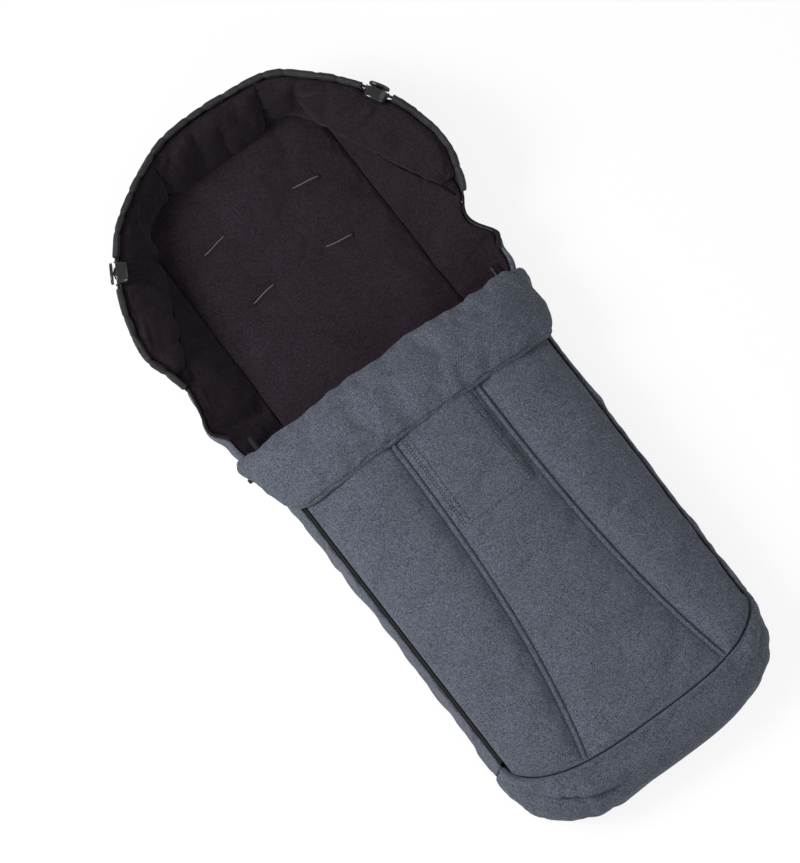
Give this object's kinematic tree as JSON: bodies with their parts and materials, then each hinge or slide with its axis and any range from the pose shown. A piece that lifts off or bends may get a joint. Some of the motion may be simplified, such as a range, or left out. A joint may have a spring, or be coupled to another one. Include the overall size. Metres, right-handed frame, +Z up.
{
  "type": "stroller footmuff",
  "caption": "Padded sleeping-bag foot cover for a pushchair: zipped hinged cover with turned-down cuff, slotted fleece pad and a drawcord hood with cord locks.",
  "frame": {"origin": "middle of the back panel's underside, at the centre of the bounding box seen from above", "axes": "+Y towards the head end, +X across to the wearer's left seen from above with the head up, +Z up out of the pad"},
  "size_m": [0.4666, 1.0094, 0.1205],
  "materials": {
    "softshell": "matt melange softshell",
    "fleece": "short dark fleece pile",
    "nylon": "smooth woven nylon, slight sheen",
    "wadding": "white polyester wadding",
    "zip_tape": "black woven tape with moulded coil teeth",
    "webbing": "black woven tape",
    "cord": "black braided cord",
    "plastic": "glossy black moulded plastic",
    "gunmetal": "dark plated zinc",
    "spring_steel": "drawn steel wire"
  },
  "bodies": {
    "muff": {"back_panel": "nylon", "back_padding": "wadding", "seat_pad": "fleece", "harness_slot_binding_upper_left": "nylon", "harness_slot_binding_upper_right": "nylon", "harness_slot_binding_lower_left": "nylon", "harness_slot_binding_lower_right": "nylon", "harness_slot_binding_crotch": "nylon", "side_wall_left": "softshell", "side_wall_right": "softshell", "toe_cap": "softshell", "hood_side_panel_left": "nylon", "hood_side_panel_right": "nylon", "hood_head_panel": "nylon", "side_lining_left": "fleece", "side_lining_right": "fleece", "toe_lining": "fleece", "hood_side_lining_left": "fleece", "hood_side_lining_right": "fleece", "hood_head_lining": "fleece", "rim_tunnel_left": "nylon", "rim_tunnel_right": "nylon", "rim_tunnel_centre": "nylon", "drawcord": "cord", "base_zip_left": "zip_tape", "base_zip_right": "zip_tape"},
    "cover": {"cover_centre_panel": "softshell", "cover_side_panel_left": "softshell", "cover_side_panel_right": "softshell", "cover_lining": "fleece", "cover_zip_left": "zip_tape", "cover_zip_right": "zip_tape", "pocket_patch": "softshell"},
    "cuff": {"cuff_back": "softshell", "cuff_face": "softshell"},
    "slider_left": {"zip_slider_left": "gunmetal", "zip_pull_left": "webbing"},
    "slider_right": {"zip_slider_right": "gunmetal", "zip_pull_right": "webbing"},
    "lock_left": {"cord_lock_body_left": "plastic", "cord_lock_spring_left": "spring_steel"},
    "lock_right": {"cord_lock_body_right": "plastic", "cord_lock_spring_right": "spring_steel"},
    "button_left": {"cord_lock_button_left": "plastic"},
    "button_right": {"cord_lock_button_right": "plastic"}
  },
  "joints": [
    {"name": "cover_fold", "type": "hinge", "parent": "muff", "child": "cover", "pos_m": [0, -0.449, 0.086], "axis": [1, 0, 0], "range_deg": [0, 165]},
    {"name": "cuff_fold", "type": "hinge", "parent": "cover", "child": "cuff", "pos_m": [0, 0.107, 0.1098], "axis": [-1, 0, 0], "range_deg": [0, 165]},
    {"name": "zip_slide_left", "type": "slide", "parent": "muff", "child": "slider_left", "axis": [0.0104, -0.9999, -0.0119], "range_m": [0, 0.46]},
    {"name": "zip_slide_right", "type": "slide", "parent": "muff", "child": "slider_right", "axis": [-0.0104, -0.9999, -0.0119], "range_m": [0, 0.46]},
    {"name": "lock_slide_left", "type": "slide", "parent": "muff", "child": "lock_left", "axis": [0.5004, 0.8658, 0], "range_m": [-0.005, 0.005]},
    {"name": "lock_slide_right", "type": "slide", "parent": "muff", "child": "lock_right", "axis": [-0.5004, 0.8658, 0], "range_m": [-0.005, 0.005]},
    {"name": "lock_button_left", "type": "slide", "parent": "lock_left", "child": "button_left", "axis": [0.8658, -0.5004, 0], "range_m": [0, 0.003], "stiffness_N_per_m": 800, "springref_m": -0.003},
    {"name": "lock_button_right", "type": "slide", "parent": "lock_right", "child": "button_right", "axis": [-0.8658, -0.5004, 0], "range_m": [0, 0.003], "stiffness_N_per_m": 800, "springref_m": -0.003}
  ]
}
